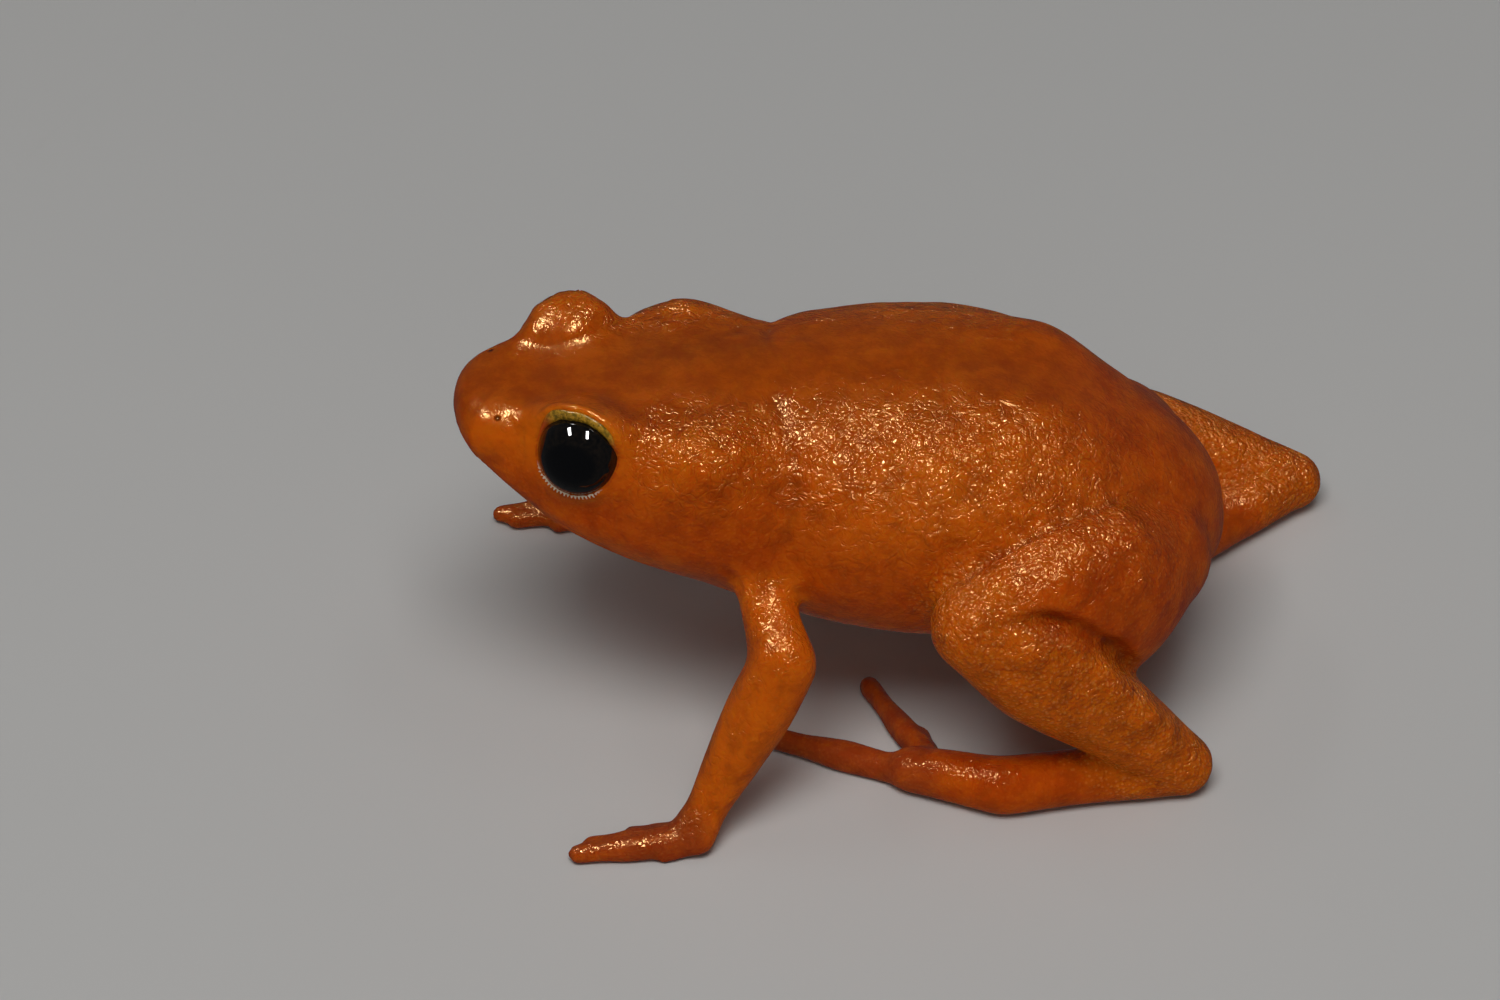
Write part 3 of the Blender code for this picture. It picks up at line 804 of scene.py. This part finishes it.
def skin_relief(points, normals, lid, brow):
    """Height of the folds alone, and of all relief: folds, a ridge and a groove round the upper
    lids as exp(-((distance - place) / 0.12)^2), the low forms of the brows, and lumps."""
    folds = crease(points, mouth_line(), 0.10, 0.08, 0.9)
    for path, width, depth, mirrored in PHOTO_FOLDS:
        laid = laid_on_skin(points, normals, path)
        folds += crease(points, laid, width, depth)
        if mirrored:
            folds += crease(points, laid * (1, -1, 1), width, depth)
    folds *= 0.8 + 0.6 * lumps(points, 0.55, 9)
    height = folds + both_sides(points, NOSTRIL, (0.24, 0.24, 0.24)) * 0.04
    ridge, groove = (np.exp(-(((lid - away) / 0.12) ** 2)) for away in (0.22, 0.48))
    height += brow * (0.020 * ridge - 0.012 * groove)
    place, reach, rise = BROW_SIDE
    height += rise * both_sides(points, place, reach)
    for place, reach, rise in BROW_ENDS:
        height += rise * both_sides(points, place, reach) * step(lid, 0.1, 0.5)
    small = 0.030 * lumps(points, 0.55, 3) * (0.25 + 0.75 * both_sides(points, *FLANK))
    height += (small + 0.045 * lumps(points, 1.7, 4)) * step(lid, 0.15, 0.8)
    return folds, height * (lid >= 0)


def beside(points, path, low, high):
    """1 nearer than low to a path, and 0 beyond high."""
    return 1 - step(nearest_on(points, path)[0], low, high)


def skin_masks(points, normals, lid, brow, folds):
    """The masks that the skin's material reads, from 0 to 1."""
    digit, shank, arm = np.zeros((3, len(points)))
    for side in SIDES:
        for path, radii in digits(side):
            root = radii[0][0]
            digit = np.maximum(digit, beside(points, path, root + 0.05, root + 0.9))
        shank = np.maximum(shank, beside(points, joints(LEG, side)[3:5], 1.1, 1.9))
        root, elbow, wrist = joints(ARM, side)
        arm = np.maximum(arm, beside(points, (root * 0.4 + elbow * 0.6, elbow, wrist), 0.7, 1.3))
    flank, shoulder, rump = (both_sides(points, *patch) for patch in (FLANK, SHOULDER, RUMP))
    out = np.abs(points[:, 1])
    back = step(points[:, 2], 8.3, 9.3) * (1 - step(out, 1.6, 3.0))
    top = step(points[:, 2], 7.8, 8.8) * (1 - step(out, 1.0, 2.4))
    bumps = both_sides(points, *BROW_TOP) + both_sides(points, *CREST_TOP)
    edge = brow * np.exp(-(((lid - 0.10) / 0.32) ** 2))
    # The pale mask is the paler, yellower tone of the brow and crest tops and the lid's edge, and on
    # the flanks and shoulders it is painted sheen where the wet gloss falls
    pale = 0.6 * bumps + edge + 0.95 * flank + 0.3 * shoulder
    wrinkle = 0.30 - 0.22 * top + 0.9 * flank + 0.9 * shoulder + 0.8 * shank
    wrinkle += 0.15 * arm + 0.2 * rump
    granule = 0.14 - 0.10 * top + 0.3 * rump + shank + 0.25 * flank
    return {
        "digit": digit,
        "back": back,
        "arm": np.maximum(arm, shank),
        # Painted shade: how deep the folds sink the skin, read as darker colour
        "fold": np.clip(-folds / 0.10, 0, 1),
        "pale": np.clip(pale, 0, 1),
        "smudge": cloud(points, *NAPE),
        "belly": step(-normals[:, 2], 0.1, 0.8),
        "wrinkle": np.clip(wrinkle, 0, 1) * step(lid, 0.02, 0.3),
        "wet": np.clip(0.35 + flank + shoulder + shank, 0, 1) * (1 - 0.4 * back),
        "granule": np.clip(granule, 0, 1) * step(lid, 0.0, 0.2),
    }


def feed(tree, value, place):
    """Gives an input its number or colour, or links a socket to it."""
    if isinstance(value, bpy.types.NodeSocket):
        tree.links.new(value, place)
    else:
        place.default_value = value


def node(tree, kind, **values):
    """A shader node with its settings, and its inputs by name after in_."""
    made = tree.nodes.new(kind)
    for key, value in values.items():
        if key.startswith("in_"):
            feed(tree, value, made.inputs[key[3:].replace("_", " ")])
        else:
            setattr(made, key, value)
    return made


def worked(tree, kind, values, **settings):
    """The outputs of a node whose first inputs take these values in turn."""
    made = node(tree, kind, **settings)
    for place, value in zip(made.inputs, values):
        feed(tree, value, place)
    return made.outputs


def maths(tree, operation, *values, clamped=False):
    """The result of a sum on numbers or sockets."""
    return worked(tree, "ShaderNodeMath", values, operation=operation, use_clamp=clamped)[0]


def places(tree, operation, *values, **settings):
    """The result of a sum on places."""
    return worked(tree, "ShaderNodeVectorMath", values, operation=operation, **settings)


def times(tree, first, second):
    """The product of two numbers or sockets."""
    return maths(tree, "MULTIPLY", first, second)


def plus(tree, *values):
    """The sum of several numbers or sockets."""
    result = values[0]
    for value in values[1:]:
        result = maths(tree, "ADD", result, value)
    return result


def blend(tree, share, first, second):
    """A colour between two others: first where share is 0 and second where it is 1."""
    made = node(tree, "ShaderNodeMix", data_type="RGBA")
    for number, value in ((0, share), (6, first), (7, second)):
        feed(tree, value, made.inputs[number])
    return made.outputs[2]


def mask(tree, name):
    """A mask carried by the piece's points."""
    return node(tree, "ShaderNodeAttribute", attribute_name=name).outputs["Fac"]


def noise(tree, place, scale, detail, rough, distortion=0.0):
    """Smooth noise from 0 to 1, with scale lumps to the millimetre."""
    made = node(
        tree, "ShaderNodeTexNoise", in_Vector=place, in_Scale=scale, in_Detail=detail,
        in_Roughness=rough, in_Distortion=distortion,
    )
    return made.outputs["Fac"]


def millimetres(tree):
    """The place on the piece in millimetres."""
    place = node(tree, "ShaderNodeTexCoord").outputs["Object"]
    return places(tree, "SCALE", place, in_Scale=1000.0)[0]


def moist_grain():
    """Shader group of the toadlet's fine relief.

    Wrinkles are low swells cut by the lines where a noise passes its middle value and crossed
    by sharper, finer ridges. Granules are rounded cells. Mottle, speckle and grit are noise,
    each finer than the last.
    """
    tree = bpy.data.node_groups.new("moist grain", "ShaderNodeTree")
    tree.interface.new_socket(name="Place", in_out="INPUT", socket_type="NodeSocketVector")
    for name in ("Wrinkles", "Granules", "Mottle", "Speckle", "Grit"):
        tree.interface.new_socket(name=name, in_out="OUTPUT", socket_type="NodeSocketFloat")
    place = node(tree, "NodeGroupInput").outputs["Place"]

    def lobes(scale):
        middle = maths(tree, "SUBTRACT", noise(tree, place, scale, 1.0, 0.4, 1.2), 0.5)
        rise = maths(tree, "MULTIPLY", maths(tree, "ABSOLUTE", middle), 8.0, clamped=True)
        return maths(tree, "POWER", rise, 0.65)

    sharp = maths(tree, "SUBTRACT", 1.0, lobes(4.6))
    swell = times(tree, noise(tree, place, 1.3, 1.0, 0.4, 0.4), 1.5)
    cut = plus(tree, times(tree, lobes(2.9), 0.19), times(tree, sharp, 0.09))
    cells = node(
        tree, "ShaderNodeTexVoronoi", feature="SMOOTH_F1", in_Vector=place, in_Scale=9.0,
        in_Smoothness=0.4,
    )
    dome = maths(tree, "MULTIPLY", cells.outputs["Distance"], 1.5, clamped=True)
    node(
        tree, "NodeGroupOutput",
        in_Wrinkles=plus(tree, swell, cut),
        in_Granules=maths(tree, "SUBTRACT", 1.0, times(tree, dome, dome)),
        in_Mottle=noise(tree, place, 0.8, 4.0, 0.6, 0.3),
        in_Speckle=noise(tree, place, 1.5, 5.0, 0.66, 0.2),
        in_Grit=noise(tree, place, 11.0, 2.0, 0.6),
    )
    return tree


def grain_in(tree, grain):
    """The fine relief group placed in a material, at the place in millimetres."""
    return node(tree, "ShaderNodeGroup", node_tree=grain, in_Place=millimetres(tree)).outputs


def spread(tree, value, low, high):
    """The value read from 0 at low to 1 at high, smoothly."""
    made = node(
        tree, "ShaderNodeMapRange", interpolation_type="SMOOTHSTEP", in_Value=value,
        in_From_Min=low, in_From_Max=high,
    )
    return made.outputs["Result"]


def raise_surface(tree, shader, height, distance):
    """Sends a height from 0 to 1 to the shader as relief of that many metres."""
    bump = node(tree, "ShaderNodeBump", in_Distance=distance, in_Height=height)
    tree.links.new(bump.outputs["Normal"], shader.inputs["Normal"])


def nostril_pits(tree):
    """1 in the middle of each nostril and 0 round it. Left and right are folded into one by the
    distance from the middle plane, and the front is told from the rear by X."""
    place = places(tree, "ADD", millimetres(tree), tuple(DRAFT_SHIFT))[0]
    folded = places(tree, "ABSOLUTE", place)[0]
    pit = tuple(abs(value) for value in NOSTRIL_PIT)
    away = places(tree, "DISTANCE", folded, pit)["Value"]
    along = node(tree, "ShaderNodeSeparateXYZ", in_Vector=place).outputs["X"]
    return times(tree, spread(tree, away, 0.10, 0.04), spread(tree, along, 0.0, -1.0))


def new_material(name, **values):
    """A new material with its nodes and its shader, whose inputs are set by name."""
    made = bpy.data.materials.new(name)
    made.use_nodes = True
    shader = made.node_tree.nodes["Principled BSDF"]
    for key, value in values.items():
        shader.inputs[key.replace("_", " ")].default_value = value
    return made, made.node_tree, shader


def skin_material(grain):
    """Moist orange skin: browner on the back, yellower on arms, shanks and brows, paler and yellower on
    the flanks and shoulders as painted sheen, rusty on the digits, with painted shade in the folds, the
    wrinkles' grooves and the nostrils, and granule tops paler partly as a painted highlight."""
    made, tree, shader = new_material(
        "moist orange skin",
        Specular_IOR_Level=0.75,
        Specular_Tint=(1.0, 0.58, 0.22, 1.0),
        Subsurface_Weight=0.8,
        Subsurface_Scale=0.00035,
        Subsurface_Radius=(1.0, 0.35, 0.1),
    )
    fine = grain_in(tree, grain)
    nostril = nostril_pits(tree)
    smudge = times(tree, mask(tree, "smudge"), spread(tree, fine["Mottle"], 0.25, 0.65))
    # Paler granule tops: partly their own tone, partly a painted highlight
    granule_tops_and_glint = times(tree, mask(tree, "granule"), spread(tree, fine["Granules"], 0.60, 1.0))
    # Painted shade in the grooves between the wrinkles' swells
    groove_shade = maths(tree, "SUBTRACT", 1.0, spread(tree, fine["Wrinkles"], 0.70, 1.15))
    colour = blend(tree, spread(tree, fine["Mottle"], 0.3, 0.7), ORANGE_DEEP, ORANGE)
    for place, share, tint in (
        (mask(tree, "back"), 0.75, BACK_BROWN),
        (mask(tree, "arm"), 0.80, ARM_YELLOW),
        # Paler yellow: the brows' own tone, and painted sheen on the flanks and shoulders
        (mask(tree, "pale"), 1.0, ARM_YELLOW),
        (mask(tree, "belly"), 0.60, BELLY_YELLOW),
        (mask(tree, "digit"), 0.85, DIGIT_RUST),
        (smudge, 0.55, NAPE_OLIVE),
        (granule_tops_and_glint, 0.60, GRANULE_PALE_AND_GLINT),
        # Painted shade in the grooves of the wrinkles and in the folds
        (groove_shade, 0.12, RED_SPECKLE_AND_CREASE_SHADE),
        (mask(tree, "fold"), 0.45, RED_SPECKLE_AND_CREASE_SHADE),
        (spread(tree, fine["Speckle"], 0.45, 0.68), 0.36, RED_SPECKLE_AND_CREASE_SHADE),
        (spread(tree, fine["Speckle"], 0.54, 0.32), 0.30, ARM_YELLOW),
        # Painted shade in the nostril pits
        (nostril, 0.85, NOSTRIL_SHADE),
    ):
        colour = blend(tree, times(tree, place, share), colour, tint)
    tree.links.new(colour, shader.inputs["Base Color"])

    granules = times(tree, fine["Granules"], mask(tree, "granule"))
    height = plus(
        tree,
        times(tree, fine["Wrinkles"], mask(tree, "wrinkle")),
        times(tree, granules, 0.20),
        times(tree, fine["Grit"], 0.025),
        times(tree, nostril, -0.8),
    )
    raise_surface(tree, shader, height, SKIN_RELIEF)
    uneven = times(tree, spread(tree, fine["Mottle"], 0.35, 0.65), 0.10)
    roughness = plus(tree, uneven, times(tree, mask(tree, "wet"), -0.04), 0.16)
    tree.links.new(roughness, shader.inputs["Roughness"])
    return made


def rim_material(grain):
    """Wet edge of the lids: orange, turning gold and olive above and pale below, where the pale is
    partly a painted highlight.
    """
    made, tree, shader = new_material("wet lid edge", Roughness=0.20)
    fine = grain_in(tree, grain)
    gold = blend(tree, spread(tree, fine["Grit"], 0.35, 0.65), LID_OLIVE, LID_GOLD)
    colour = blend(tree, mask(tree, "gold"), ORANGE_DEEP, gold)
    # The pale lower edge is partly a painted highlight
    colour = blend(tree, mask(tree, "ivory_and_glint"), colour, LID_IVORY_AND_GLINT)
    tree.links.new(colour, shader.inputs["Base Color"])
    height = plus(tree, fine["Grit"], times(tree, fine["Wrinkles"], 0.5))
    raise_surface(tree, shader, height, RIM_RELIEF)
    return made


def eye_material(grain):
    """Black, wet and glossy: a faintly brown iris round a blacker oval pupil."""
    made, tree, shader = new_material("wet black eye", Roughness=0.03, Specular_IOR_Level=0.6)
    fine = grain_in(tree, grain)
    iris = blend(tree, spread(tree, fine["Grit"], 0.3, 0.7), EYE_BLACK, IRIS_BROWN)
    colour = blend(tree, mask(tree, "pupil"), iris, EYE_BLACK)
    tree.links.new(colour, shader.inputs["Base Color"])
    return made


def build_eyes(look):
    """Both eyeballs. The cornea stands a little proud: distance from the centre is the radius
    - 0.015 + 0.03 * exp(-(angle from the axis / 0.9)^2)."""
    for side in SIDES:
        centre, axis, forward, upward = eye_frame(side)
        points, faces = ball_grid(centre, 1.0, 70, 120)
        ray = points - centre
        angle = np.arccos(np.clip(ray @ axis, -1, 1))
        reach = EYE_RADIUS - 0.015 + 0.03 * np.exp(-((angle / 0.9) ** 2))
        points = centre + ray * reach[:, None]
        oval = np.hypot((ray @ forward) / PUPIL[0], (ray @ upward) / PUPIL[1])
        pupil = (1 - step(oval, 0.85, 1.15)) * (ray @ axis > 0)
        eyeball = new_piece("eyeball_" + side, points, faces, look, {"pupil": pupil})
        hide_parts("eye_" + side)


def build_rims(look):
    """The wet edge of the lids round each opening.

    An ellipse is carried round the edge of the opening: half width along the eyeball and
    half thickness away from it grow under the brow and on the pale lower edge, whose colour
    is partly a painted highlight, and which is beaded by a cosine of the turn.
    """
    turn = turns(RIM_RINGS)
    degrees = np.degrees(turn)
    gold = step(degrees, 36, 66) * (1 - step(degrees, 140, 172))
    ivory_and_glint = step(degrees, 222, 250) * (1 - step(degrees, 330, 352))
    bead = ivory_and_glint * np.cos(RIM_BEADS * turn)
    brow = step(degrees, 15, 65) * (1 - step(degrees, 140, 175))
    wide = 0.040 + 0.032 * brow + 0.022 * ivory_and_glint + 0.008 * bead
    section = turns(RIM_SIDES)
    i, j = np.meshgrid(np.arange(RIM_RINGS), np.arange(RIM_SIDES), indexing="ij")
    k, m = (i + 1) % RIM_RINGS, (j + 1) % RIM_SIDES
    quads = np.stack([i, k, k, i], axis=-1) * RIM_SIDES + np.stack([j, j, m, m], axis=-1)
    quads = quads.reshape(-1, 4).tolist()
    masks = {"gold": np.repeat(gold, RIM_SIDES), "ivory_and_glint": np.repeat(ivory_and_glint, RIM_SIDES)}
    for side in SIDES:
        centre, axis, forward, upward = eye_frame(side)
        thick = 0.034 + brow * (around(LID_PROUD[side], turn) - 1.05) / 2 + 0.028 * (ivory_and_glint + bead)
        edge = opening_angle(side, turn) + (wide - 0.015 - 0.050 * brow) / LID_HUG
        out = forward * np.cos(turn)[:, None] + upward * np.sin(turn)[:, None]
        ray = axis * np.cos(edge)[:, None] + out * np.sin(edge)[:, None]
        along = out * np.cos(edge)[:, None] - axis * np.sin(edge)[:, None]
        height = np.sin(section) + 0.45 * brow[:, None]
        away = EYE_RADIUS + 0.012 + thick[:, None] * height
        shift = wide[:, None] * np.cos(section)
        rings = centre + ray[:, None, :] * away[..., None] + along[:, None, :] * shift[..., None]
        points = rings.reshape(-1, 3)
        new_piece("lid_edge_" + side, points, quads, look, masks)


def build_stage():
    """A plain pale floor that runs far past the picture and stays out of the reflections."""
    a = FLOOR_REACH
    floor = new_mesh("floor", [(-a, -a, 0), (a, -a, 0), (a, a, 0), (-a, a, 0)], [(0, 1, 2, 3)])
    look = new_material("pale floor", Base_Color=FLOOR_GREY, Roughness=0.9)[0]
    floor.data.materials.append(look)
    floor.visible_glossy = False


def direction(azimuth, elevation):
    """Unit vector from the object towards a camera or light at an azimuth and elevation."""
    a, e = math.radians(azimuth), math.radians(elevation)
    return np.array((math.sin(a) * math.cos(e), -math.cos(a) * math.cos(e), math.sin(e)))


def build_light(name, towards, distance, size, power):
    """A soft rectangular light, in millimetres from the middle of the object, with its length
    lying front to back as seen from the camera."""
    data = bpy.data.lights.new(name, "AREA")
    data.shape = "RECTANGLE"
    data.size, data.size_y = size[0] * MM, size[1] * MM
    data.energy = power
    light = new_object(name, data)
    towards = Vector(towards).normalized()
    along = Vector((0, 1, 0))
    along = (along - towards * along.dot(towards)).normalized()
    turn = Matrix((along.cross(towards), along, towards))
    light.rotation_euler = turn.transposed().to_euler()
    light.location = Vector(to_part(LIGHT_AIM)) + towards * distance * MM
    return light


def build_lights():
    """The strips show only in reflections, the panels give only the even light, and the room
    round them is dim."""
    for name, (towards, size, power) in STRIPS.items():
        build_light(name, towards, STRIP_DISTANCE, size, power).visible_diffuse = False
    for name, (angles, size, power) in PANELS.items():
        panel = build_light(name, direction(*angles), PANEL_DISTANCE, size, power)
        panel.visible_glossy = False
    world = bpy.data.worlds.new("room")
    world.use_nodes = True
    room = world.node_tree.nodes["Background"]
    room.inputs["Color"].default_value = ROOM_COLOUR
    room.inputs["Strength"].default_value = ROOM_STRENGTH
    bpy.context.scene.world = world
    bpy.context.scene.view_settings.view_transform = "Standard"


def build_camera():
    """The camera at the photograph's angle."""
    data = bpy.data.cameras.new("camera")
    data.lens = CAMERA_LENS
    data.sensor_width = FILM_WIDTH
    data.clip_start, data.clip_end = 0.01, 10.0
    camera = new_object("camera", data)
    back = Vector(direction(CAMERA_AZIMUTH, CAMERA_ELEVATION))
    camera.location = Vector(to_part(CAMERA_AIM)) + back * CAMERA_DISTANCE * MM
    camera.rotation_mode = "QUATERNION"
    camera.rotation_quaternion = back.to_track_quat("Z", "Y")
    bpy.context.scene.camera = camera


def main():
    grain = moist_grain()
    build_camera()
    build_lights()
    build_stage()
    build_skin(skin_material(grain))
    build_eyes(eye_material(grain))
    build_rims(rim_material(grain))


main()
